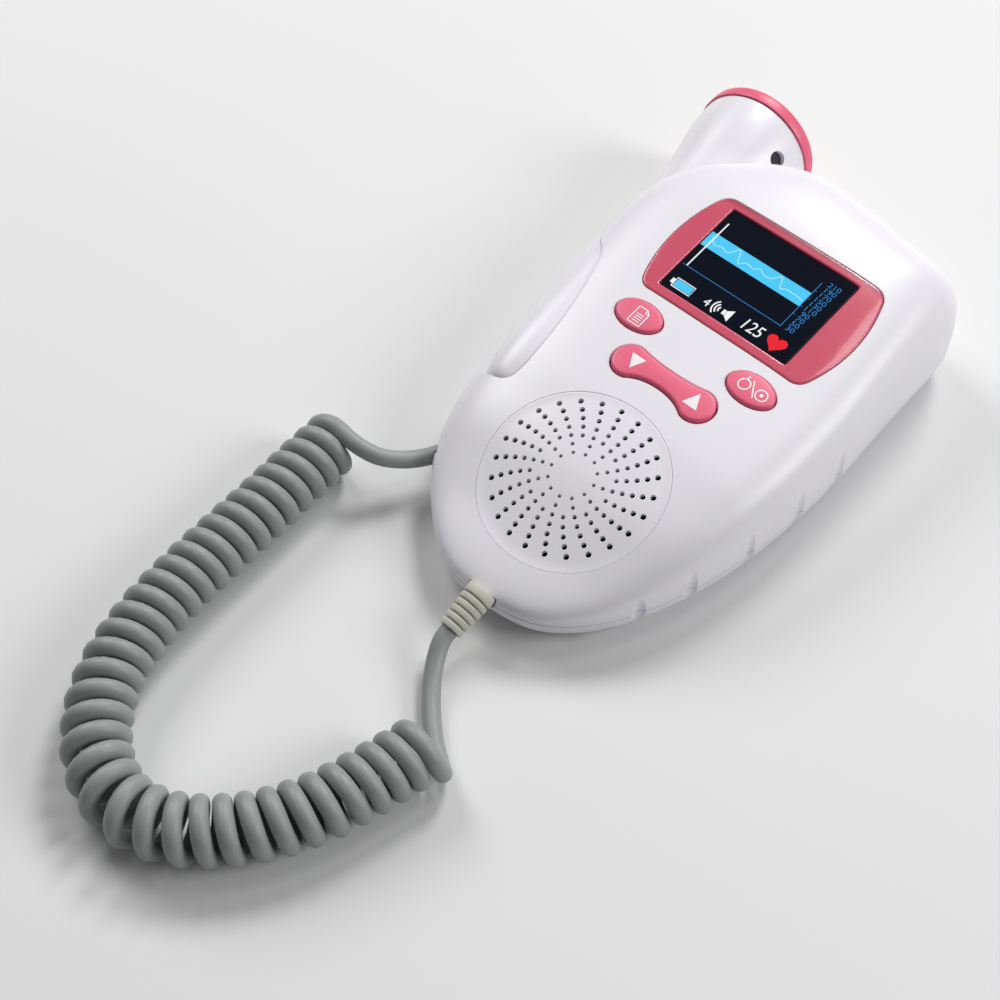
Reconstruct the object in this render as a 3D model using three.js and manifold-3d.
// A hand-held fetal doppler monitor: a mouse-shaped main unit with a colour display,
// two oval keys, a volume rocker and a speaker grille, the probe docked along its left
// flank, and the curly cord that joins the two.
// Millimetres. +Z is up, +Y runs from the cord end to the display end, +X is the unit's
// right. The shapes are drawn from the cord end of the unit's centre line, on the floor; the
// whole group is then set back, so that the origin lies on the flat of the underside.
import * as THREE from "three";
import { mergeVertices } from "three/addons/utils/BufferGeometryUtils.js";
import Module from "manifold-3d";

const wasm = await Module();
wasm.setup();

// The origin on the flat underside, from the cord end of the unit
const restFaceY = 60;

// Driving sizes of the body
const bodyLength = 158;
const bodyHeight = 39.2;
const rightHalfWidth = 42.7;
const leftHalfWidth = 52;
const partingHeight = 9.5;
const bottomRounding = 9;
const wall = 2.2;
const fit = 0.3;
const overrun = 1;
const noseTipX = -2.5;
const farTipX = -10;
const spineStart = 40;
const spineEnd = 118;
const outlineSteps = 22;

// The outline as shares of a half width and of the body's length, from the cord end.
const farTipShare = 0.993;
const rightOutlineShares = [
  [0.115, 0.003], [0.311, 0.016], [0.464, 0.042], [0.625, 0.089], [0.747, 0.147],
  [0.845, 0.215], [0.923, 0.294], [0.972, 0.38], [0.998, 0.478], [0.998, 0.589],
  [0.978, 0.682], [0.96, 0.778], [0.945, 0.861], [0.922, 0.905], [0.852, 0.934],
  [0.749, 0.945], [0.475, 0.961], [0.239, 0.974], [-0.03, 0.985],
];
const leftOutlineShares = [
  [0.196, 0.004], [0.369, 0.03], [0.542, 0.075], [0.663, 0.117], [0.762, 0.168],
  [0.827, 0.225], [0.865, 0.278], [0.9, 0.38], [0.927, 0.494], [0.961, 0.62],
  [0.981, 0.715], [0.963, 0.785], [0.885, 0.853], [0.735, 0.91], [0.56, 0.96],
  [0.375, 0.987],
];
// The crest of the top, as shares of the body's length and of its height.
const crestShares = [
  [0, 0.4], [0.05, 0.432], [0.1, 0.474], [0.15, 0.54], [0.22, 0.64], [0.3, 0.719],
  [0.36, 0.766], [0.57, 0.865], [0.68, 0.921], [0.8, 0.977], [0.9, 0.997], [1, 1],
];
// How square the top's cross-section is at the nose, at the display and at the far end.
const noseSquareness = 3.2;
const displaySquareness = 4.5;
const farSquareness = 3.9;
// The top leans a little to the left at the nose, in height over width.
const noseLeanShare = 0.045;
const leanEndShare = 0.6;
// Rings of the skin, as shares of the way from the spine out to the outline.
const topRingShares = [1, 0.98, 0.93, 0.85, 0.72, 0.52, 0.27, 0];
const bottomRings = 3;

// Driving sizes of the probe and its dock
const headRadius = 18.3;
const headRingLength = 3.9;
const headRingWall = 1.9;
const faceDome = 0.9;
// The face's dome: shares of its radius and of its rise, from the rim inwards.
const faceShares = [[0.7, 0.6], [0.35, 0.9]];
const facePlateLength = 2.2;
const crystalRadius = 11;
const crystalLength = 1;
const backingLength = 4.5;
const handleStart = headRingLength + fit;
const handleLength = 116.4;
const handleRadius = 12.35;
const neckRadius = 17.7;
const tailRadius = 4.6;
const handleWall = 1.8;
const probeAxisHeight = 18.8;
const headX = -42.8;
const headY = 164.9;
const probeYaw = 4;
const dockClearance = 0.5;
const dockWall = 1.6;
const dockLipHeight = 26;
const dockMouthReach = 40;
const ledgeDepth = 119.9;
const latheSides = 20;
const discSides = 24;
const rimSides = 24;
const roundSides = 12;
const speakerSides = 16;
const holeSides = 4;
const bossSides = 10;
const notchSides = 16;
const keySegments = 8;
// The handle's profile: shares of its length, and of its radius, from the head down.
const handleShares = [
  [0.026, 1.425], [0.062, 1.389], [0.111, 1.304], [0.171, 1.178], [0.24, 1.065],
  [0.326, 0.98], [0.429, 0.984], [0.515, 1], [0.601, 0.988], [0.679, 0.943],
  [0.781, 0.874], [0.884, 0.769], [0.944, 0.663], [0.983, 0.526],
];
const indexHoleRadius = 2.1;
const indexHoleDepth = 3;
const indexHoleStart = 13.1;
const indexHoleTurn = 38.5;
const probeBoardLength = 42;
const probeBoardStart = 42;
const probeBoardThickness = 1.2;
const probeBoardShare = 0.94;

// Display, keys and grille
const displayY = 106.6;
const displayX = 0.6;
// The display's rise along its height, as a share of the body's height
const displayRiseShare = 0.1074;
const bezelHalfWidth = 25.6;
const bezelBow = 3.7;
const bezelHalfHeight = 18.3;
const bezelCorner = 3;
const bezelRaise = 0.2;
const pocketDepth = 1.3;
const pocketRest = 0.2;
const screenX = -0.6;
const screenHalfWidth = 20.4;
const screenHalfHeight = 15.3;
const windowCorner = 0.9;
const windowLedge = 1.2;
const panelHalfWidth = 22.4;
const panelHalfHeight = 17.4;
const panelThickness = 3;
const panelDrop = 3.2;
const keyX = 18.2;
const keyY = 79.8;
const keyHalfLength = 7;
const keyHalfWidth = 4.45;
const keyRaise = 0.9;
const keyFlange = 1.1;
const keyFlangeThickness = 1.1;
const keyTravel = 0.8;
const rockerY = 67.6;
const rockerLobeX = 10.9;
const rockerLobeRadius = 4.8;
const rockerWaist = 2.8;
const rockerArch = 1;
const rockerClearance = 0.5;
const rockerThicknessShare = 0.092;
const rockerThickness = rockerThicknessShare * bodyHeight;
const rockerStem = 3;
// The lobe's arc, from and to, as shares of a half turn
const rockerLobeShares = [-0.625, 0.6];
const grilleX = -0.4;
const grilleY = 34;
const grilleLean = 2.6;
// The disc is set a little steeper than the top round it.
const grilleExtraTilt = 1;
const grilleDiscRadius = 24.6;
const grilleThickness = 1.1;
const grilleFlatShare = 0.9;
const grilleRimShare = 1.1;
const grilleSink = 0.35;
const grilleLedgeThickness = 2.4;
const grilleLedge = 2.4;
const grilleRingOuter = 21;
const grilleRingInner = 6.2;
const grilleHoleOuter = 0.8;
const grilleHoleInner = 0.5;
const grilleRays = 24;
const grilleLongRay = 7;
const grilleShortRay = 5;
const grilleTurn = 8.9;
const grilleTwist = 11.5;

// Grip notches, as shares of the body's length, on the right flank
const notchShares = [0.139, 0.226, 0.341, 0.448, 0.5525];
const notchRadius = 3;
const notchTopRadius = 2.2;
const notchOffset = 1.8;
const notchBottom = 2.5;
const notchTop = 19;

// Speaker
const speakerRadius = 22.9;
const speakerRim = 1.6;
const speakerDepth = 5.5;
const magnetRadius = 10.5;
const magnetHeight = 4;
const coneWall = 0.5;
const coneRootShare = 0.6;

// Board and switches
const boardThickness = 1.6;
const boardHeightShare = 0.55;
const boardHeight = boardHeightShare * bodyHeight;
const boardLeft = -12.2;
const boardWideLeft = -22.2;
const boardRight = 29.4;
const boardStart = 60;
const boardNotch = 84;
const boardEnd = 138.5;
const switchSize = 5;
const switchTravelGap = 0.4;
const switchBodyShare = 0.6;
const switchPlungerRadius = 1.3;

// Battery bay and door
const cellRadius = 7.1;
const cellLength = 50.2;
const cellGap = 1.3;
const bayX = 4;
const bayMargin = 17.8;
const cellNubRadius = 2.6;
const cellNubLength = 1;
const contactThickness = 0.6;
const trayWall = 1.2;
const doorThickness = 2;
const doorInset = 0.3;
const doorLowerMargin = 0.8;
const doorTongue = 2;
const doorTongueHeight = 1;
const doorLead = 3.6;
const doorPad = 4;
const doorGrooves = 3;
const doorGroovePitch = 3;
const doorGrooveWidth = 1.2;
const doorGrooveDepth = 0.5;
const doorGrooveInset = 8;

// Case screws: places beside the centre line, with their bosses
const screwHeadRadius = 2.7;
const screwHeadHeight = 1.7;
const screwShankRadius = 1.25;
const screwTopShare = 0.459;
const screwTop = screwTopShare * bodyHeight;
const screwNoseTopShare = 0.319;
const screwNoseTop = screwNoseTopShare * bodyHeight;
const screwSink = 1;
const bossRadius = 3.4;
const screwNoseX = 18.4;
const screwNoseY = 14;
const screwRightX = 33;
const screwRightY = 126;
const screwDockX = -18;
const screwDockY = 131;

// Earphone socket in the far end
const socketX = 25.6;
const farEndShare = 0.9;
const socketHeightShare = 0.485;
const socketHeight = socketHeightShare * bodyHeight;
const socketRadius = 4;
const socketBore = 1.8;
const socketLength = 11;
const socketBoreDepth = 9;
const socketInset = 1.2;

// Cord, boots and coil
const cordDiameter = 4.2;
const coilRadius = 6.5;
const coilStartPitch = 4.75;
const coilEndPitch = 5.25;
const coilGap = 0.58;
const coilStartShare = 3 / 8;
const coilEndShare = 5 / 8;
const coilStraight = cordDiameter;
const curlSteps = 8;
const coilFineSteps = 4000;
const curlSides = 5;
const leadSides = 8;
const leadStep = 2.5;
const bootBaseRadius = 4.1;
const bootTipRadius = 3.2;
const bootLength = 11.5;
const bootInside = 1;
const bootHeightShare = 0.2806;
const bootHeight = bootHeightShare * bodyHeight;
const bootDroop = 17;
const bootGrooves = 5;
const bootGrooveDepth = 0.6;
const tailBootLength = 3.6;
const tailBootRadius = 3.6;
const tailBootTipRadius = 3;
const tailBootGrooves = 2;
const tailRoomLeft = -41;
const tailRoomEnd = 44;
const ledgeWall = 1.2;
const cordMouthStart = 22.5;
const cordMouthEnd = 36;
const cordMouthRight = -30;
const cordMouthTop = 14;
const dockFloor = 2.2;

// The cord's routes, point by point: the lead from the unit's boot to the coil, the
// coil's own axis, and the lead from the coil to the probe's tail.
const unitLeadRoute = [
  [2.3, -17.5, 4], [4.3, -20.9, 2.6], [7.4, -25.2, 2.2], [12.1, -30.2, 2.2],
  [17, -34.4, 2.2], [21.9, -37.3, 2.4], [25.4, -39.1, 3.6],
  [27, -40.4, 6],
];
const coilAxisRoute = [
  [17.5, -41, 8.7], [14.6, -54, 8.7], [11.6, -64, 8.7], [6.8, -74.2, 8.7], [0.1, -83.4, 8.7],
  [-9.9, -91.8, 8.7], [-21.9, -95.5, 8.7], [-34.3, -92.3, 8.7], [-44.2, -84.2, 8.7],
  [-51, -74, 8.7], [-55.6, -60, 8.7], [-58, -42.3, 8.7], [-59.6, -17.3, 8.7],
  [-61.2, 4, 8.7], [-61.9, 13.2, 8.7],
];
const probeLeadRoute = [
  [-50.4, 16.6, 5], [-47.2, 19.6, 4], [-43.6, 23, 4.7],
  [-39.4, 26, 7.2], [-36, 28.6, 10], [-34.3, 31.8, 13.2], [-34, 35.8, 16.9],
];

// Materials
const white = new THREE.MeshStandardMaterial({ color: 0xe8e6ec, roughness: 0.42 });
const pinkDark = new THREE.MeshStandardMaterial({ color: 0xd05068, roughness: 0.2 });
const pinkLight = new THREE.MeshStandardMaterial({ color: 0xe9718c, roughness: 0.45 });
const grey = new THREE.MeshStandardMaterial({ color: 0x8f9493, roughness: 0.55 });
const beige = new THREE.MeshStandardMaterial({ color: 0xb2b1a6, roughness: 0.6 });
const glass = new THREE.MeshStandardMaterial({ color: 0x0e1420, roughness: 0.08 });
const black = new THREE.MeshStandardMaterial({ color: 0x17181c, roughness: 0.5 });
const green = new THREE.MeshStandardMaterial({ color: 0x1f6a45, roughness: 0.5 });
const steel = new THREE.MeshStandardMaterial({
  color: 0xb9bcc0,
  roughness: 0.3,
  metalness: 1,
});
const paper = new THREE.MeshStandardMaterial({ color: 0x3c3c40, roughness: 0.9 });
const ceramic = new THREE.MeshStandardMaterial({ color: 0xd9d2bf, roughness: 0.5 });
const cellFoil = new THREE.MeshStandardMaterial({
  color: 0x5b6470,
  roughness: 0.35,
  metalness: 0.6,
});

// Solids
function solid(geometry) {
  const source = geometry.index ? geometry.toNonIndexed() : geometry;
  const bare = new THREE.BufferGeometry();
  bare.setAttribute("position", source.getAttribute("position"));
  const merged = mergeVertices(bare, 1e-4);
  const positions = merged.getAttribute("position");
  const corner = (i) => new THREE.Vector3().fromBufferAttribute(positions, i);
  const triangles = [];
  let volume = 0;
  for (let i = 0; i < merged.index.count; i += 3) {
    const [a, b, c] = [0, 1, 2].map((k) => merged.index.getX(i + k));
    if (a === b || b === c || a === c) continue;
    triangles.push(a, b, c);
    volume += corner(a).dot(corner(b).cross(corner(c)));
  }
  if (volume < 0) triangles.reverse();
  return new wasm.Manifold(
    new wasm.Mesh({
      numProp: 3,
      vertProperties: positions.array,
      triVerts: new Uint32Array(triangles),
    }),
  );
}

function joined(first, ...others) {
  return others.reduce((whole, piece) => whole.add(piece), first);
}

function cut(first, ...others) {
  return others.reduce((whole, piece) => whole.subtract(piece), first);
}

const group = new THREE.Group();

function geometryOf(made) {
  const data = made.getMesh();
  const geometry = new THREE.BufferGeometry();
  geometry.setAttribute("position", new THREE.BufferAttribute(data.vertProperties, 3));
  geometry.setIndex(new THREE.BufferAttribute(data.triVerts, 1));
  geometry.computeVertexNormals();
  return geometry;
}

function addMesh(name, made, material, parent = group) {
  const mesh = new THREE.Mesh(geometryOf(made), material);
  mesh.name = name;
  parent.add(mesh);
  return mesh;
}

function box(x0, x1, y0, y1, z0, z1) {
  const made = new THREE.BoxGeometry(x1 - x0, y1 - y0, z1 - z0);
  return made.translate((x0 + x1) / 2, (y0 + y1) / 2, (z0 + z1) / 2);
}

function uprightCylinder(x, y, z0, z1, radius, sides = roundSides) {
  const made = new THREE.CylinderGeometry(radius, radius, z1 - z0, sides);
  made.rotateX(Math.PI / 2);
  return made.translate(x, y, (z0 + z1) / 2);
}

function prism(shape, z0, z1, curveSegments = roundSides) {
  const settings = { depth: z1 - z0, bevelEnabled: false, curveSegments };
  return new THREE.ExtrudeGeometry(shape, settings).translate(0, 0, z0);
}

function lathe(profile, sides = latheSides) {
  const points = profile.map(([radius, along]) => new THREE.Vector2(radius, along));
  return new THREE.LatheGeometry(points, sides);
}

// The body's skin
function smoothCurve(points) {
  return new THREE.CatmullRomCurve3(points, false, "centripetal");
}

const noseTip = new THREE.Vector3(noseTipX, 0, 0);
const farTip = new THREE.Vector3(farTipX, farTipShare * bodyLength, 0);

function outlineSide(shares, halfWidth) {
  const inner = shares.map(([across, along]) => {
    return new THREE.Vector3(across * halfWidth, along * bodyLength, 0);
  });
  return smoothCurve([noseTip, ...inner, farTip]).getSpacedPoints(outlineSteps);
}

const rightOutline = outlineSide(rightOutlineShares, rightHalfWidth);
const leftOutline = outlineSide(leftOutlineShares, -leftHalfWidth);

// Each place on the outline, right side first, with the spine point that it faces.
const outline = [];
rightOutline.forEach((point, i) => {
  const middle = (point.y + leftOutline[i].y) / 2;
  const facing = THREE.MathUtils.clamp(middle, spineStart, spineEnd);
  outline.push({ point, facing });
});
for (let i = outlineSteps - 1; i > 0; i -= 1) {
  outline.push({ point: leftOutline[i], facing: outline[i].facing });
}

function valueAt(shares, share) {
  const last = shares.length - 1;
  let i = shares.findIndex(([from]) => from >= share);
  if (i < 0) i = last;
  if (i === 0) return shares[0][1];
  const [a, b] = [shares[i - 1], shares[i]];
  const before = shares[Math.max(i - 2, 0)];
  const after = shares[Math.min(i + 1, last)];
  const span = b[0] - a[0];
  const t = THREE.MathUtils.clamp((share - a[0]) / span, 0, 1);
  const slopeA = ((b[1] - before[1]) / (b[0] - before[0])) * span;
  const slopeB = ((after[1] - a[1]) / (after[0] - a[0])) * span;
  const t2 = t * t;
  const t3 = t2 * t;
  return (
    (2 * t3 - 3 * t2 + 1) * a[1] +
    (t3 - 2 * t2 + t) * slopeA +
    (3 * t2 - 2 * t3) * b[1] +
    (t3 - t2) * slopeB
  );
}

function crest(y) {
  return bodyHeight * valueAt(crestShares, y / bodyLength);
}

function squareness(y) {
  const share = THREE.MathUtils.smoothstep(y, 0, displayY);
  const rest = THREE.MathUtils.lerp(noseSquareness, displaySquareness, share);
  const beyond = THREE.MathUtils.smoothstep(y, displayY, bodyLength);
  return THREE.MathUtils.lerp(rest, farSquareness, beyond);
}

function leanAt(x, y) {
  const fade = 1 - THREE.MathUtils.smoothstep(y, 0, leanEndShare * bodyLength);
  return noseLeanShare * fade * x;
}

// Height of the top, a share of the way out from the spine, under an inset.
function topHeight(x, y, share, inset) {
  const power = squareness(y);
  const rise = (1 - share ** power) ** (1 / power);
  return partingHeight + (crest(y) - inset - partingHeight + leanAt(x, y)) * rise;
}

// Height of the finished top at a place on the centre line.
function centreHeight(y) {
  const out = Math.max(spineStart - y, y - spineEnd, 0);
  const reach = y < spineStart ? spineStart : farTip.y - spineEnd;
  return topHeight(0, y, out / reach, 0);
}

function ring(inset, share, heightOf) {
  return outline.map(({ point, facing }) => {
    const centre = new THREE.Vector3(0, facing, 0);
    const out = point.clone().sub(centre);
    const reach = out.length();
    out.multiplyScalar(((reach - inset) * share) / reach);
    const at = centre.add(out);
    at.z = heightOf(at);
    return at;
  });
}

function skinned(rings) {
  const count = rings[0].length;
  const positions = [];
  const corner = (point) => positions.push(point.x, point.y, point.z);
  rings.slice(1).forEach((upper, level) => {
    const lower = rings[level];
    lower.forEach((from, i) => {
      const next = (i + 1) % count;
      [from, lower[next], upper[next]].forEach(corner);
      [from, upper[next], upper[i]].forEach(corner);
    });
  });
  const made = new THREE.BufferGeometry();
  made.setAttribute("position", new THREE.Float32BufferAttribute(positions, 3));
  return made;
}

function bodySkin(inset) {
  const rings = [ring(inset, 0, () => inset)];
  for (let i = 0; i < bottomRings; i += 1) {
    const angle = (Math.PI / 2) * (1 - i / bottomRings);
    const rise = inset + (partingHeight - inset) * (1 - Math.sin(angle));
    const drawn = inset + bottomRounding * (1 - Math.cos(angle));
    rings.push(ring(drawn, 1, () => rise));
  }
  topRingShares.forEach((share) => {
    rings.push(ring(inset, share, (at) => topHeight(at.x, at.y, share, inset)));
  });
  return solid(skinned(rings));
}

const outer = bodySkin(0);
const inner = bodySkin(wall);
const everywhere = 2 * bodyLength;
const above = solid(
  box(-everywhere, everywhere, -everywhere, everywhere, partingHeight + fit / 2, everywhere),
);
const below = solid(
  box(-everywhere, everywhere, -everywhere, everywhere, -everywhere, partingHeight - fit / 2),
);

// A slab of the top between two depths below its surface, inside a prism.
function slab(column, from, to) {
  return cut(bodySkin(from).intersect(column), bodySkin(to));
}

function column(shape, curveSegments = keySegments) {
  return solid(prism(shape, partingHeight + overrun, bodyHeight + everywhere, curveSegments));
}

// The probe's frame: its axis is +Y, its origin the middle of the head's front
const probeFrame = new THREE.Matrix4()
  .makeRotationZ(THREE.MathUtils.degToRad(probeYaw))
  .setPosition(headX, headY, probeAxisHeight);

function inProbeFrame(geometry) {
  return geometry.applyMatrix4(probeFrame);
}

const handleEnd = handleStart + handleLength;

const handleProfile = [
  [handleStart, neckRadius],
  ...handleShares.map(([along, out]) => {
    return [handleStart + along * handleLength, out * handleRadius];
  }),
  [handleEnd, tailRadius],
];

function widest(from) {
  return Math.max(...handleProfile.slice(from).map(([, radius]) => radius));
}

const tailEnd = handleEnd + fit + tailBootLength;

// The dock's bore never narrows towards its mouth, so that the probe can slide out. It ends
// round the probe's boot.
function dockBore(spare) {
  const sides = handleProfile.map(([along], i) => [widest(i) + spare, -along]);
  const end = handleEnd + spare;
  const profile = [
    [0, dockMouthReach],
    [headRadius + spare, dockMouthReach],
    [headRadius + spare, -headRingLength],
    ...sides,
    [tailBootRadius + spare, -end],
    [tailBootRadius + spare, -tailEnd - spare],
    [0, -tailEnd - spare],
  ];
  return inProbeFrame(lathe(profile));
}

// The room under the ledge, where the cord turns down from the probe's tail
function tailRoom(spare) {
  const made = box(
    tailRoomLeft - spare,
    cordMouthRight + spare,
    cordMouthStart - spare,
    tailRoomEnd + spare,
    dockFloor - spare,
    everywhere,
  );
  return solid(made).intersect(bodySkin(ledgeWall + dockWall - spare));
}

function openSide(y0, y1, z0, z1, right) {
  return box(-everywhere, right, y0, y1, z0, z1);
}

const handleBottom = -(handleRadius + dockClearance);
const lipTop = dockLipHeight - probeAxisHeight;

function mouthBox(spare) {
  const made = openSide(
    -ledgeDepth - spare,
    dockMouthReach,
    handleBottom - spare,
    lipTop + spare,
    0,
  );
  return solid(inProbeFrame(made));
}

function cordMouth(spare) {
  return solid(
    openSide(
      cordMouthStart - spare,
      cordMouthEnd + spare,
      dockFloor - spare,
      cordMouthTop + spare,
      cordMouthRight + spare,
    ),
  );
}

const dockSpace = joined(
  solid(dockBore(dockClearance)),
  tailRoom(dockWall),
  mouthBox(0),
  cordMouth(0),
);
const dockSolid = joined(
  solid(dockBore(dockClearance + dockWall)),
  tailRoom(2 * dockWall),
  solid(
    inProbeFrame(
      openSide(-tailEnd, dockMouthReach, -everywhere, everywhere, 0),
    ),
  ),
  cordMouth(dockWall),
);
const cavity = cut(inner, dockSolid);

// Shapes of the display, the keys and the rocker
function bowedShape(halfWidth, bow, halfHeight, corner, x = displayX) {
  const shape = new THREE.Shape();
  const [left, right] = [x - halfWidth, x + halfWidth];
  const [low, high] = [displayY - halfHeight, displayY + halfHeight];
  shape.moveTo(left + corner, low);
  shape.lineTo(right - corner, low);
  shape.quadraticCurveTo(right, low, right + bow / halfHeight, low + corner);
  shape.quadraticCurveTo(right + 2 * bow, displayY, right + bow / halfHeight, high - corner);
  shape.quadraticCurveTo(right, high, right - corner, high);
  shape.lineTo(left + corner, high);
  shape.quadraticCurveTo(left, high, left - bow / halfHeight, high - corner);
  shape.quadraticCurveTo(left - 2 * bow, displayY, left - bow / halfHeight, low + corner);
  shape.quadraticCurveTo(left, low, left + corner, low);
  return shape;
}

function bezelShape(spare) {
  const corner = bezelCorner + spare;
  return bowedShape(bezelHalfWidth + spare, bezelBow, bezelHalfHeight + spare, corner);
}

function windowShape(spare) {
  const [halfWidth, halfHeight] = [screenHalfWidth + spare, screenHalfHeight + spare];
  return bowedShape(halfWidth, 0, halfHeight, windowCorner, screenX);
}

// The outlines of the keys and of the rocker have few corners, set by keySegments.
const lobeFrom = Math.PI * rockerLobeShares[0];
const lobeTo = Math.PI * rockerLobeShares[1];

function keyShape(x, spare) {
  const shape = new THREE.Shape();
  const [across, along] = [keyHalfLength + spare, keyHalfWidth + spare];
  return shape.absellipse(x, keyY, across, along, 0, 2 * Math.PI, false, 0);
}

function rockerShape(spare) {
  const shape = new THREE.Shape();
  const radius = rockerLobeRadius + spare;
  const waist = rockerWaist + spare;
  const middle = rockerY + rockerArch;
  const reach = rockerLobeX / 2;
  const right = new THREE.Vector2(rockerLobeX, rockerY);
  shape.absarc(right.x, right.y, radius, lobeFrom, lobeTo, false);
  shape.quadraticCurveTo(reach, middle + waist, 0, middle + waist);
  const leftStart = Math.PI - lobeTo;
  shape.quadraticCurveTo(
    -reach,
    middle + waist,
    -rockerLobeX + radius * Math.cos(leftStart),
    rockerY + radius * Math.sin(leftStart),
  );
  shape.absarc(-right.x, right.y, radius, leftStart, Math.PI - lobeFrom, false);
  shape.quadraticCurveTo(-reach, middle - waist, 0, middle - waist);
  shape.quadraticCurveTo(
    reach,
    middle - waist,
    right.x + radius * Math.cos(lobeFrom),
    right.y + radius * Math.sin(lobeFrom),
  );
  return shape;
}

// The height of the body's top at any place, found by a ray from above
const skinMesh = new THREE.Mesh(geometryOf(outer));

function surfaceHeight(x, y) {
  const from = new THREE.Vector3(x, y, everywhere);
  const ray = new THREE.Raycaster(from, new THREE.Vector3(0, 0, -1));
  return ray.intersectObject(skinMesh)[0].point.z;
}

// The grille's frame: tilted with the top, its origin on the surface
const grilleCentre = surfaceHeight(grilleX, grilleY) - grilleSink;
const grilleReach = grilleFlatShare * grilleDiscRadius;
const grilleRise =
  surfaceHeight(grilleX, grilleY + grilleReach) - surfaceHeight(grilleX, grilleY - grilleReach);
const grilleSlope = Math.atan(grilleRise / (2 * grilleReach));
const grilleTilt = grilleSlope + THREE.MathUtils.degToRad(grilleExtraTilt);
console.log("grille tilt", THREE.MathUtils.radToDeg(grilleTilt).toFixed(2));
const grilleFrame = new THREE.Matrix4()
  .makeRotationX(grilleTilt)
  .multiply(new THREE.Matrix4().makeRotationY(-THREE.MathUtils.degToRad(grilleLean)))
  .setPosition(grilleX, grilleY, grilleCentre);

const toGrille = grilleFrame.clone().invert();
const inTop = (geometry) => solid(geometry.applyMatrix4(grilleFrame));

function grilleColumn(radius) {
  return uprightCylinder(0, 0, -speakerDepth * 2, everywhere, radius, rimSides);
}

function grilleHole(radius, angle, size) {
  const [x, y] = [radius * Math.cos(angle), radius * Math.sin(angle)];
  return uprightCylinder(x, y, -speakerDepth, speakerDepth, size, holeSides);
}

function grilleHoles() {
  const pieces = [];
  for (let ray = 0; ray < grilleRays; ray += 1) {
    const long = ray % 2 === 0;
    const first = long ? 0 : grilleLongRay - grilleShortRay;
    for (let step = first; step < grilleLongRay; step += 1) {
      const share = step / (grilleLongRay - 1);
      const radius = THREE.MathUtils.lerp(grilleRingInner, grilleRingOuter, share);
      const size = THREE.MathUtils.lerp(grilleHoleInner, grilleHoleOuter, share);
      const lead = THREE.MathUtils.degToRad(grilleTurn + grilleTwist * share);
      const turn = lead + (2 * Math.PI * ray) / grilleRays;
      pieces.push(solid(grilleHole(radius, turn, size)));
    }
  }
  return wasm.Manifold.union(pieces);
}

// The disc is flat but for its rim, which follows the top.
function discRing(share, raised) {
  return Array.from({ length: discSides }, (_, i) => {
    const angle = (2 * Math.PI * (i + 1 / 2)) / discSides;
    const radius = share * grilleDiscRadius;
    const at = new THREE.Vector3(radius * Math.cos(angle), radius * Math.sin(angle), 0);
    if (share > grilleFlatShare) {
      at.applyMatrix4(grilleFrame);
      at.z = surfaceHeight(at.x, at.y);
      at.applyMatrix4(toGrille);
    }
    at.z += raised;
    return at;
  });
}

function grilleBlank(raised, depth) {
  const shares = [0, grilleFlatShare, grilleRimShare];
  const top = shares.map((share) => discRing(share, raised));
  const bottom = shares.map((share) => discRing(share, -depth)).reverse();
  return skinned([...top, ...bottom]);
}

function grilleSupport() {
  const [inside, outside] = [grilleDiscRadius - grilleLedge, grilleDiscRadius + wall];
  const top = -grilleThickness / 2;
  const bottom = -grilleThickness - fit - grilleLedgeThickness;
  const made = lathe(
    [[inside, bottom], [outside, bottom], [outside, top], [inside, top], [inside, bottom]],
    rimSides,
  );
  return inTop(made.rotateX(Math.PI / 2)).intersect(bodySkin(wall / 2));
}

// Grip notches in the right flank: shallow cones whose axes stand outside the outline.
function notchAxisAt(y) {
  const i = rightOutline.findIndex((point) => point.y >= y);
  const [a, b] = [rightOutline[i - 1], rightOutline[i]];
  const along = b.clone().sub(a).normalize();
  const outward = new THREE.Vector3(along.y, -along.x, 0);
  const at = a.clone().lerp(b, (y - a.y) / (b.y - a.y));
  return at.addScaledVector(outward, notchOffset);
}

const notches = notchShares.map((share) => {
  const at = notchAxisAt(share * bodyLength);
  const height = notchTop - notchBottom;
  const made = new THREE.CylinderGeometry(notchTopRadius, notchRadius, height, notchSides);
  made.rotateX(Math.PI / 2);
  return solid(made.translate(at.x, at.y, (notchTop + notchBottom) / 2));
});

// Case screws
const screwPlaces = [
  ["nose_right", screwNoseX, screwNoseY, screwNoseTop],
  ["nose_left", -screwNoseX, screwNoseY, screwNoseTop],
  ["display_right", screwRightX, screwRightY, screwTop],
  ["dock", screwDockX, screwDockY, screwTop],
];

function screwSolid(x, y, top) {
  const head = uprightCylinder(x, y, screwSink, screwSink + screwHeadHeight, screwHeadRadius);
  const shankStart = screwSink + screwHeadHeight / 2;
  const shank = uprightCylinder(x, y, shankStart, top, screwShankRadius, bossSides);
  const slotReach = screwHeadRadius / 2;
  const slot = slotReach / 3;
  const slotTop = screwSink + screwHeadHeight / 2;
  const drive = [
    box(x - slotReach, x + slotReach, y - slot, y + slot, 0, slotTop),
    box(x - slot, x + slot, y - slotReach, y + slotReach, 0, slotTop),
  ];
  return cut(joined(solid(head), solid(shank)), ...drive.map(solid));
}

const screwBores = screwPlaces.map(([, x, y, top]) => {
  const headTop = screwSink + screwHeadHeight + fit;
  const well = uprightCylinder(x, y, -overrun, headTop, screwHeadRadius + fit);
  const bore = uprightCylinder(x, y, 0, top + fit, screwShankRadius + fit, bossSides);
  return joined(solid(well), solid(bore));
});

function bosses(radius, from, to, limit) {
  return screwPlaces.map(([, x, y]) => {
    return solid(uprightCylinder(x, y, from, to, radius, bossSides)).intersect(limit);
  });
}

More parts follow.
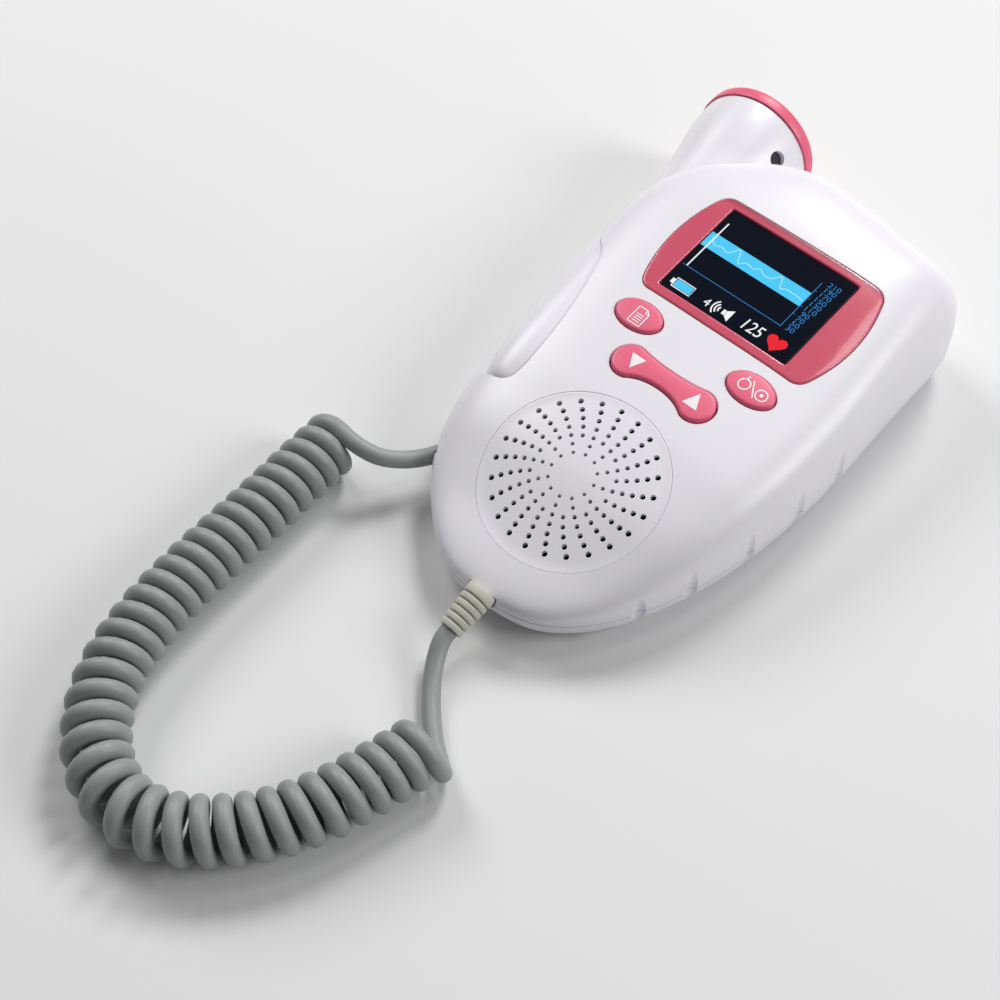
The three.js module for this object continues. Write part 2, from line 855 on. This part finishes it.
// The unit's cord boot, in a frame whose +Y runs down the cord
const bootFrame = new THREE.Matrix4()
  .makeRotationX(Math.PI + THREE.MathUtils.degToRad(bootDroop))
  .setPosition(0, 0, bootHeight);

function ribbedBoot(inside, length, baseRadius, tipRadius, grooves, depth) {
  const profile = [[0, -inside], [baseRadius, -inside]];
  const pitch = length / (grooves + 1);
  for (let i = 1; i <= grooves; i += 1) {
    const at = pitch * i;
    const radius = THREE.MathUtils.lerp(baseRadius, tipRadius, at / length);
    const half = pitch / 5;
    profile.push([radius, at - half], [radius - depth, at], [radius, at + half]);
  }
  profile.push([tipRadius, length], [0, length]);
  return profile;
}

const unitBoot = solid(
  lathe(
    ribbedBoot(
      bootInside,
      bootLength,
      bootBaseRadius,
      bootTipRadius,
      bootGrooves,
      bootGrooveDepth,
    ),
    roundSides,
  ).applyMatrix4(bootFrame),
);
const bootHoleRadius = bootBaseRadius + fit;
const bootHole = solid(
  lathe(
    [
      [0, -bootInside - fit],
      [bootHoleRadius, -bootInside - fit],
      [bootHoleRadius, bootLength],
      [0, bootLength],
    ],
    roundSides,
  ).applyMatrix4(bootFrame),
);

// Earphone socket
function farEndAt(x) {
  const near = rightOutline.filter((point) => point.y > spineEnd);
  const i = near.findIndex((point) => point.x <= x && point.y > bodyLength * farEndShare);
  return near[i].y;
}

const socketFace = farEndAt(socketX) - socketInset;

function alongY(profile, x, z, sides) {
  return lathe(profile, sides).translate(x, 0, z);
}

const socketSolid = solid(
  alongY(
    [
      [0, socketFace - socketLength],
      [socketRadius, socketFace - socketLength],
      [socketRadius, socketFace],
      [socketBore, socketFace],
      [socketBore, socketFace - socketBoreDepth],
      [0, socketFace - socketBoreDepth],
    ],
    socketX,
    socketHeight,
    roundSides,
  ),
);
const socketHole = solid(
  alongY(
    [
      [0, socketFace - socketLength],
      [socketRadius + fit, socketFace - socketLength],
      [socketRadius + fit, bodyLength + overrun],
      [0, bodyLength + overrun],
    ],
    socketX,
    socketHeight,
    roundSides,
  ),
);

// Battery bay
const cellPitch = 2 * cellRadius + cellGap;
const bayHalfWidth = cellPitch / 2 + cellRadius + fit;
const cellFloor = doorInset + doorThickness + fit;
const cellHeight = cellFloor + cellRadius;
const cellsEnd = bodyLength - bayMargin;
const cellsStart = cellsEnd - cellLength;
const doorStart = cellsStart - doorLead;
const bayStart = cellsStart - contactThickness - 2 * fit;
const bayEnd = cellsEnd + contactThickness + 2 * fit;
const trayTop = boardHeight - fit;
const doorHalfWidth = bayHalfWidth - doorLowerMargin;
const tongueHalfWidth = doorHalfWidth + doorTongue;
const tongueFrom = doorInset + doorThickness - doorTongueHeight;

function bayBox(spare, z0, z1) {
  const [left, right] = [bayX - bayHalfWidth - spare, bayX + bayHalfWidth + spare];
  return solid(box(left, right, bayStart - spare, bayEnd + spare, z0, z1));
}

function doorProfile(spare, bottom) {
  const low = doorHalfWidth + spare;
  const high = tongueHalfWidth + spare;
  const shoulder = tongueFrom - spare;
  const top = doorInset + doorThickness + spare;
  const lower = box(bayX - low, bayX + low, doorStart - spare, everywhere, bottom, top);
  const upper = box(bayX - high, bayX + high, doorStart - spare, everywhere, shoulder, top);
  return joined(solid(lower), solid(upper));
}

const doorPadSolid = solid(
  box(
    bayX - tongueHalfWidth - trayWall - fit,
    bayX + tongueHalfWidth + trayWall + fit,
    doorStart - fit - trayWall,
    bodyLength,
    wall / 2,
    doorPad,
  ),
);

// Shells
const windowOpening = column(windowShape(-windowLedge));
const bezelPocket = slab(column(bezelShape(fit)), -2 * overrun, pocketDepth);
const grillePocket = inTop(grilleBlank(2 * overrun, grilleThickness + fit)).intersect(
  inTop(grilleColumn(grilleDiscRadius + fit)),
);
const keyHoles = [-keyX, keyX].map((x) => column(keyShape(x, fit)));
const rockerHole = column(rockerShape(rockerClearance));

const topShell = cut(
  joined(
    cut(outer.intersect(above), cavity),
    grilleSupport(),
    ...bosses(bossRadius, partingHeight + fit / 2, bodyHeight, bodySkin(wall / 2)),
  ),
  bezelPocket,
  windowOpening,
  grillePocket,
  inTop(grilleColumn(grilleDiscRadius - grilleLedge)),
  ...keyHoles,
  rockerHole,
  dockSpace,
  bootHole,
  socketHole,
  ...notches,
  ...screwBores,
);

const bottomShell = cut(
  joined(
    cut(outer.intersect(below), cavity),
    doorPadSolid.intersect(bodySkin(wall / 4)),
    cut(bayBox(trayWall, wall / 2, trayTop), bayBox(0, 0, everywhere)),
    ...bosses(bossRadius, wall / 2, partingHeight - fit / 2, outer),
  ),
  bayBox(0, 0, trayTop + overrun),
  doorProfile(fit, -overrun),
  dockSpace,
  bootHole,
  ...notches,
  ...screwBores,
);

addMesh("top_shell", topShell, white);
addMesh("bottom_shell", bottomShell, white);

// Battery door
function batteryDoor() {
  const whole = doorProfile(0, doorInset).intersect(outer);
  const grooves = [];
  for (let i = 0; i < doorGrooves; i += 1) {
    const at = doorStart + doorGrooveInset + i * doorGroovePitch;
    const reach = doorHalfWidth / 2;
    const deep = doorInset + doorGrooveDepth;
    const [left, right] = [bayX - reach, bayX + reach];
    grooves.push(solid(box(left, right, at, at + doorGrooveWidth, 0, deep)));
  }
  return cut(whole, ...grooves);
}

addMesh("battery_door", batteryDoor(), white);

// Cells and contacts
[-1, 1].forEach((side, i) => {
  const body = cellLength - cellNubLength;
  const profile = [
    [0, 0],
    [cellRadius, 0],
    [cellRadius, body],
    [cellNubRadius, body],
    [cellNubRadius, cellLength],
    [0, cellLength],
  ];
  const cell = lathe(profile, roundSides);
  if (side > 0) cell.rotateX(Math.PI).translate(0, cellLength, 0);
  const x = bayX + (side * cellPitch) / 2;
  addMesh("battery_cell_" + (i + 1), solid(cell.translate(x, cellsStart, cellHeight)), cellFoil);
});
[
  ["battery_contact_front", bayStart + fit],
  ["battery_contact_back", cellsEnd + fit],
].forEach(([name, y]) => {
  const reach = bayHalfWidth - fit;
  const low = cellHeight - cellRadius / 2;
  const high = cellHeight + cellRadius / 2;
  const strip = box(bayX - reach, bayX + reach, y, y + contactThickness, low, high);
  addMesh(name, solid(strip), steel);
});

// Display
const bezelColumn = column(bezelShape(0));
const bezel = cut(
  slab(bezelColumn, -bezelRaise, pocketDepth - pocketRest),
  column(windowShape(fit)),
);
addMesh("display_bezel", bezel, pinkDark);
addMesh("display_window", slab(column(windowShape(0)), bezelRaise, pocketDepth - pocketRest), glass);

function displayPanel() {
  const made = box(
    screenX - panelHalfWidth,
    screenX + panelHalfWidth,
    -panelHalfHeight,
    panelHalfHeight,
    -panelThickness,
    0,
  );
  made.rotateX(Math.atan((displayRiseShare * bodyHeight) / (2 * panelHalfHeight)));
  return solid(made.translate(0, displayY, centreHeight(displayY) - panelDrop));
}

addMesh("lcd_panel", displayPanel(), black);

// Keys
const keyFlangeFrom = wall + fit;
const keyFlangeTo = keyFlangeFrom + keyFlangeThickness;

[
  ["left_button", -keyX],
  ["right_button", keyX],
].forEach(([name, x]) => {
  const cap = slab(column(keyShape(x, 0)), -keyRaise, keyFlangeTo);
  const flange = slab(column(keyShape(x, keyFlange)), keyFlangeFrom, keyFlangeTo);
  addMesh(name, joined(cap, flange), pinkLight);
});

const boardTop = boardHeight + boardThickness;
const stemHalf = rockerStem / 2;
const rockerStemSolid = box(
  -stemHalf,
  stemHalf,
  rockerY + rockerArch - stemHalf,
  rockerY + rockerArch + stemHalf,
  boardTop + fit,
  centreHeight(rockerY) - overrun,
);
const rockerCap = slab(column(rockerShape(0)), -keyRaise, rockerThickness);
addMesh("volume_rocker", joined(rockerCap, solid(rockerStemSolid)), pinkLight);

// Board and switches
function boardShape() {
  const shape = new THREE.Shape();
  shape.moveTo(boardWideLeft, boardStart);
  shape.lineTo(boardRight, boardStart);
  shape.lineTo(boardRight, boardEnd);
  shape.lineTo(boardLeft, boardEnd);
  shape.lineTo(boardLeft, boardNotch);
  shape.lineTo(boardWideLeft, boardNotch);
  shape.closePath();
  return shape;
}

const boardClearings = bosses(bossRadius + fit, 0, everywhere, bodySkin(0));
const mainBoard = cut(solid(prism(boardShape(), boardHeight, boardTop)), ...boardClearings);
addMesh("main_board", mainBoard, green);

const switchPlaces = [
  ["switch_left", -keyX, keyY, keyFlangeTo + keyTravel],
  ["switch_right", keyX, keyY, keyFlangeTo + keyTravel],
  ["switch_minus", -rockerLobeX, rockerY, rockerThickness + rockerClearance + keyTravel],
  ["switch_plus", rockerLobeX, rockerY, rockerThickness + rockerClearance + keyTravel],
];
switchPlaces.forEach(([name, x, y, depth]) => {
  const half = switchSize / 2;
  const low = boardTop + fit;
  const lowest = centreHeight(y - keyHalfWidth / 2);
  const top = lowest - depth - switchTravelGap;
  const shoulder = THREE.MathUtils.lerp(low, top, switchBodyShare);
  const body = solid(box(x - half, x + half, y - half, y + half, low, shoulder));
  const plunger = solid(uprightCylinder(x, y, low, top, switchPlungerRadius));
  addMesh(name, joined(body, plunger), black);
});

// Grille and speaker
const grilleGroup = new THREE.Group();
grilleGroup.applyMatrix4(grilleFrame);
group.add(grilleGroup);
const grilleDisc = solid(grilleBlank(0, grilleThickness)).intersect(
  solid(grilleColumn(grilleDiscRadius)),
);
addMesh("speaker_grille", cut(grilleDisc, grilleHoles()), white, grilleGroup);

function speakerLathe(profile) {
  const made = lathe(profile, speakerSides).rotateX(Math.PI / 2);
  return solid(made.applyMatrix4(grilleFrame));
}

const rimTop = -grilleThickness - fit - grilleLedgeThickness - fit;
const rimBottom = rimTop - speakerRim;
const basketBottom = rimBottom - speakerDepth;
const coneReach = speakerRadius - speakerRim;
addMesh(
  "speaker_frame",
  speakerLathe([
    [magnetRadius * coneRootShare, basketBottom],
    [magnetRadius, basketBottom],
    [speakerRadius - speakerRim / 2, rimBottom],
    [speakerRadius, rimBottom],
    [speakerRadius, rimTop],
    [coneReach, rimTop],
    [coneReach, rimBottom],
    [magnetRadius * coneRootShare, basketBottom + speakerRim],
    [magnetRadius * coneRootShare, basketBottom],
  ]),
  steel,
);
addMesh(
  "speaker_magnet",
  speakerLathe([
    [0, basketBottom - fit - magnetHeight],
    [magnetRadius, basketBottom - fit - magnetHeight],
    [magnetRadius, basketBottom - fit],
    [0, basketBottom - fit],
  ]),
  steel,
);
const coneRim = coneReach - fit;
const coneRoot = magnetRadius * coneRootShare;
const coneLow = basketBottom + speakerRim + 2 * fit;
addMesh(
  "speaker_cone",
  speakerLathe([
    [0, coneLow + 2 * coneWall],
    [coneRoot / 2, coneLow + 2 * coneWall],
    [coneRoot, coneLow + coneWall],
    [coneRim, rimTop - coneWall],
    [coneRim, rimTop],
    [coneRim - 2 * coneWall, rimTop],
    [coneRoot, coneLow + 3 * coneWall],
    [coneRoot / 2, coneLow + 4 * coneWall],
    [0, coneLow + 4 * coneWall],
  ]),
  paper,
);

// Socket, screws and boot
addMesh("earphone_socket", socketSolid, black);
screwPlaces.forEach(([name, x, y, top]) => {
  addMesh("screw_" + name, screwSolid(x, y, top), steel);
});
addMesh("unit_boot", unitBoot, beige);

// Probe
const probe = new THREE.Group();
probe.applyMatrix4(probeFrame);
group.add(probe);

function handleSolid(spare) {
  const sides = handleProfile.map(([along, radius]) => [radius - spare, -along]);
  const [start, end] = [-handleStart + spare, -handleEnd + spare];
  return lathe([[0, start], [neckRadius - spare, start], ...sides.slice(1, -1),
    [tailRadius - spare, end], [0, end]]);
}

const indexTurn = THREE.MathUtils.degToRad(indexHoleTurn);
const indexHole = uprightCylinder(0, 0, -indexHoleDepth, neckRadius, indexHoleRadius, latheSides)
  .rotateY(Math.PI / 2 - indexTurn)
  .translate(
    neckRadius * Math.cos(indexTurn),
    -indexHoleStart,
    neckRadius * Math.sin(indexTurn),
  );
const handleHollow = cut(solid(handleSolid(handleWall)), solid(
  uprightCylinder(0, 0, 0, indexHoleDepth + handleWall, indexHoleRadius + handleWall, latheSides)
    .rotateY(Math.PI / 2 - indexTurn)
    .translate(
      (neckRadius - indexHoleDepth - handleWall) * Math.cos(indexTurn),
      -indexHoleStart,
      (neckRadius - indexHoleDepth - handleWall) * Math.sin(indexTurn),
    ),
));
const handleFront = solid(
  lathe([
    [0, -handleStart + overrun],
    [neckRadius - 2 * handleWall, -handleStart + overrun],
    [neckRadius - 2 * handleWall, -handleStart - 2 * handleWall],
    [0, -handleStart - 2 * handleWall],
  ]),
);
const handleWhole = cut(solid(handleSolid(0)), handleHollow, handleFront, solid(indexHole));
const half = fit / 2;
const upperHalf = solid(box(-everywhere, everywhere, -everywhere, everywhere, half, everywhere));
const lowerHalf = solid(box(-everywhere, everywhere, -everywhere, everywhere, -everywhere, -half));
addMesh("probe_upper_shell", handleWhole.intersect(upperHalf), white, probe);
addMesh("probe_lower_shell", handleWhole.intersect(lowerHalf), white, probe);

const ringInner = headRadius - headRingWall;
const ringCorner = headRingWall / 3;
addMesh(
  "probe_ring",
  solid(
    lathe([
      [ringInner, -headRingLength],
      [headRadius, -headRingLength],
      [headRadius, -ringCorner],
      [headRadius - ringCorner, 0],
      [ringInner, 0],
      [ringInner, -headRingLength],
    ]),
  ),
  pinkLight,
  probe,
);
const plateRadius = ringInner - fit;
addMesh(
  "probe_face",
  solid(
    lathe([
      [0, -facePlateLength],
      [plateRadius, -facePlateLength],
      [plateRadius, 0],
      ...faceShares.map(([out, rise]) => [out * plateRadius, rise * faceDome]),
      [0, faceDome],
    ]),
  ),
  ceramic,
  probe,
);
const crystalFrom = facePlateLength + fit;
const crystalTo = crystalFrom + crystalLength;
addMesh(
  "probe_crystal",
  solid(lathe([[0, -crystalTo], [crystalRadius, -crystalTo], [crystalRadius, -crystalFrom],
    [0, -crystalFrom]], speakerSides)),
  steel,
  probe,
);
const backingFrom = crystalTo + fit;
const backingTo = backingFrom + backingLength;
addMesh(
  "probe_backing",
  solid(lathe([[0, -backingTo], [crystalRadius, -backingTo], [crystalRadius, -backingFrom],
    [0, -backingFrom]], speakerSides)),
  black,
  probe,
);

const probeBoardHalf = (handleProfile
  .filter(([along]) => along > probeBoardStart && along < probeBoardStart + probeBoardLength)
  .reduce((least, [, radius]) => Math.min(least, radius), handleRadius) - handleWall - fit)
  * probeBoardShare;
const probeBoard = box(
  -probeBoardHalf,
  probeBoardHalf,
  -probeBoardStart - probeBoardLength,
  -probeBoardStart,
  -probeBoardThickness / 2,
  probeBoardThickness / 2,
);
addMesh("probe_board", solid(probeBoard), green, probe);
const tailBoot = lathe(
  ribbedBoot(
    0,
    tailBootLength,
    tailBootRadius,
    tailBootTipRadius,
    tailBootGrooves,
    bootGrooveDepth,
  ),
  roundSides,
)
  .rotateZ(Math.PI)
  .translate(0, -handleEnd - fit, 0);
addMesh("probe_boot", solid(tailBoot), beige, probe);

// Cord
const cordRadius = cordDiameter / 2;
const vector = ([x, y, z]) => new THREE.Vector3(x, y, z);

// A tube of few sides along a list of points, its sections carried without twist.
function tubeOf(points, radius, sides) {
  const last = points.length - 1;
  let side = new THREE.Vector3(0, 0, 1);
  const rings = points.map((point, i) => {
    const ahead = points[Math.min(i + 1, last)];
    const behind = points[Math.max(i - 1, 0)];
    const along = ahead.clone().sub(behind).normalize();
    side = side.clone().addScaledVector(along, -side.dot(along)).normalize();
    const across = along.clone().cross(side);
    return Array.from({ length: sides }, (_, k) => {
      const angle = (2 * Math.PI * k) / sides;
      return point
        .clone()
        .addScaledVector(side, radius * Math.cos(angle))
        .addScaledVector(across, radius * Math.sin(angle));
    });
  });
  const cap = (point) => Array.from({ length: sides }, () => point);
  return skinned([cap(points[0]), ...rings, cap(points[last])]);
}

const coilAxis = smoothCurve(coilAxisRoute.map(vector));
coilAxis.arcLengthDivisions = coilFineSteps;
const coilLength = coilAxis.getLength();

// The axis at a distance from the unit's end, with the pitch that its bend leaves room for.
function axisPlace(at) {
  const share = THREE.MathUtils.clamp(at / coilLength, 0, 1);
  const near = cordDiameter / coilLength;
  const before = coilAxis.getTangentAt(Math.max(share - near, 0));
  const after = coilAxis.getTangentAt(Math.min(share + near, 1));
  const bend = before.angleTo(after) / (2 * cordDiameter);
  const rest = THREE.MathUtils.lerp(coilStartPitch, coilEndPitch, share);
  const needed = (cordDiameter + coilGap) / (1 - bend * coilRadius);
  return {
    point: coilAxis.getPointAt(share),
    along: coilAxis.getTangentAt(share),
    pitch: Math.max(rest, needed),
  };
}

const up = new THREE.Vector3(0, 0, 1);

function coilPoint(at, turn) {
  const { point, along } = axisPlace(at);
  const across = along.clone().cross(up).normalize();
  const angle = 2 * Math.PI * turn;
  return point
    .addScaledVector(up, -coilRadius * Math.cos(angle))
    .addScaledVector(across, -coilRadius * Math.sin(angle));
}

function coilPoints() {
  const startTurn = coilStartShare * curlSteps;
  const points = [];
  const fine = coilLength / coilFineSteps;
  let [at, turn] = [0, coilStartShare];
  let turns = 0;
  for (let s = 0; s < coilLength; s += fine) turns += fine / axisPlace(s).pitch;
  const whole = Math.floor(turns - coilEndShare + coilStartShare) + coilEndShare;
  const stretch = (whole - coilStartShare) / turns;
  let next = startTurn;
  while (next <= whole * curlSteps) {
    if (turn >= next / curlSteps) {
      points.push(coilPoint(at, turn));
      next += 1;
    }
    turn += (fine / axisPlace(at).pitch) * stretch;
    at += fine;
    if (at > coilLength + coilRadius) break;
  }
  return points;
}

const curls = coilPoints();

// The way the tube leaves at an end: its own turn carried on by half a step.
function wayOut(end, before, beforeThat) {
  const last = end.clone().sub(before).normalize();
  const earlier = before.clone().sub(beforeThat).normalize();
  return last.addScaledVector(last.clone().sub(earlier), 1 / 2).normalize();
}

const firstWay = wayOut(curls[0], curls[1], curls[2]);
const lastWay = wayOut(curls.at(-1), curls.at(-2), curls.at(-3));
const coilStart = curls[0].clone().addScaledVector(firstWay, coilStraight);
const coilEnd = curls.at(-1).clone().addScaledVector(lastWay, coilStraight);
const coilLine = [coilStart, ...curls, coilEnd];
addMesh("cord_coil", solid(tubeOf(coilLine, cordRadius, curlSides)), grey);

// The least gap between turns, measured between sections at least half a turn apart.
function leastGap() {
  let least = Infinity;
  coilLine.forEach((a, i) => {
    coilLine.slice(i + curlSteps / 2 + 1).forEach((b) => {
      least = Math.min(least, a.distanceTo(b) - cordDiameter);
    });
  });
  return least;
}

console.log("coil turns", (curls.length - 1) / curlSteps, "least gap", leastGap().toFixed(2));

function leadSolid(points) {
  const curve = new THREE.CatmullRomCurve3(points, false, "centripetal");
  const shape = new THREE.Shape();
  for (let k = 0; k < leadSides; k += 1) {
    const angle = (2 * Math.PI * (k + 1 / 2)) / leadSides;
    const [x, y] = [cordRadius * Math.cos(angle), cordRadius * Math.sin(angle)];
    if (k === 0) shape.moveTo(x, y);
    else shape.lineTo(x, y);
  }
  shape.closePath();
  const steps = Math.ceil(curve.getLength() / (leadStep * cordDiameter / 2));
  return solid(new THREE.ExtrudeGeometry(shape, { steps, extrudePath: curve }));
}

const bootTip = new THREE.Vector3(0, bootLength + fit, 0).applyMatrix4(bootFrame);
const bootStraight = new THREE.Vector3(0, bootLength + fit + cordDiameter, 0);
const unitLeadPoints = [
  bootTip,
  bootStraight.applyMatrix4(bootFrame),
  ...unitLeadRoute.map(vector),
  coilStart.clone().addScaledVector(firstWay, coilStraight / 2 + fit),
  coilStart.clone().addScaledVector(firstWay, fit),
];
addMesh("cord_unit_lead", leadSolid(unitLeadPoints), grey);

const tailTip = new THREE.Vector3(0, -tailEnd - fit, 0).applyMatrix4(probeFrame);
const tailStraight = new THREE.Vector3(0, -tailEnd - fit - cordDiameter / 2, 0);
const probeLeadPoints = [
  coilEnd.clone().addScaledVector(lastWay, fit),
  coilEnd.clone().addScaledVector(lastWay, coilStraight / 2 + fit),
  ...probeLeadRoute.map(vector),
  tailStraight.applyMatrix4(probeFrame),
  tailTip,
];
addMesh("cord_probe_lead", leadSolid(probeLeadPoints), grey);

group.position.y = -restFaceY;

export default group;
